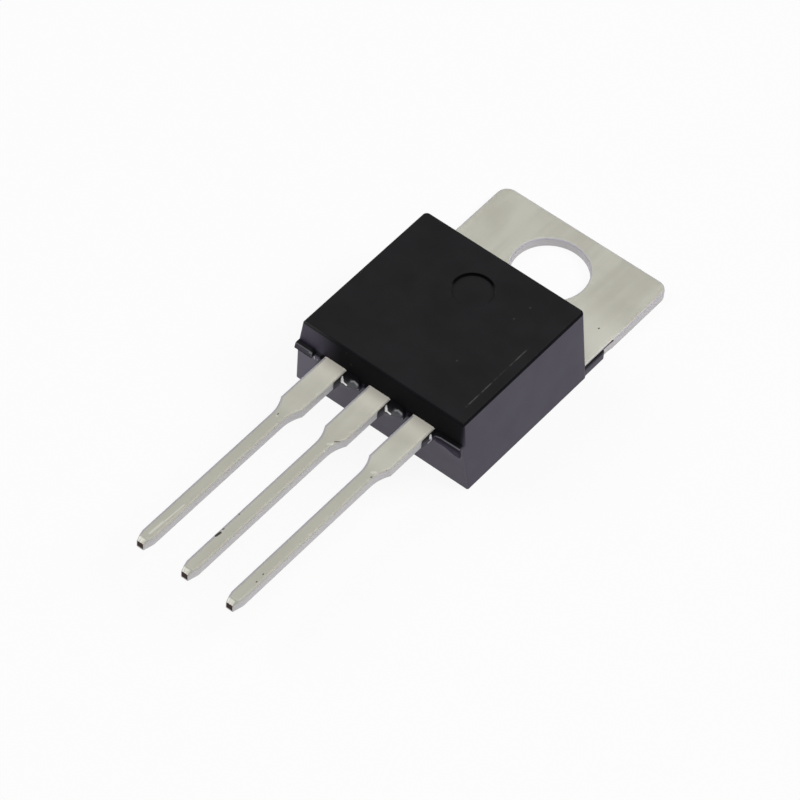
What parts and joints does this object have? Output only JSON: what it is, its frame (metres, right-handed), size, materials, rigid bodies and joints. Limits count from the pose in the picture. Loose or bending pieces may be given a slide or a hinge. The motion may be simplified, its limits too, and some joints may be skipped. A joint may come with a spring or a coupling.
{
  "type": "voltage regulator",
  "caption": "Three-lead power voltage regulator: moulded body on a metal heat tab with a mounting hole, straight tapered leads in line.",
  "frame": {"origin": "centre of the mounting hole, on the flat back face of the tab", "axes": "+Z from the back face up to the marked face of the body, +Y from the lead tips towards the tab, +X to the right when the leads point at the viewer and the marked face is up"},
  "size_m": [0.01, 0.0288, 0.0044],
  "materials": {
    "mould_resin": "fine matt moulded epoxy",
    "tinned_strip": "satin tin plating over copper",
    "silicon": "polished silicon",
    "solder": "dull soft solder",
    "bond_wire": "bright drawn wire"
  },
  "bodies": {
    "root": {"mould_body": "mould_resin", "left_notch_resin": "mould_resin", "right_notch_resin": "mould_resin", "tab_and_centre_lead": "tinned_strip", "left_lead": "tinned_strip", "right_lead": "tinned_strip", "die_solder": "solder", "silicon_die": "silicon", "left_bond_wire": "bond_wire", "right_bond_wire": "bond_wire", "sense_bond_wire": "bond_wire", "ground_bond_wire": "bond_wire"}
  },
  "joints": []
}
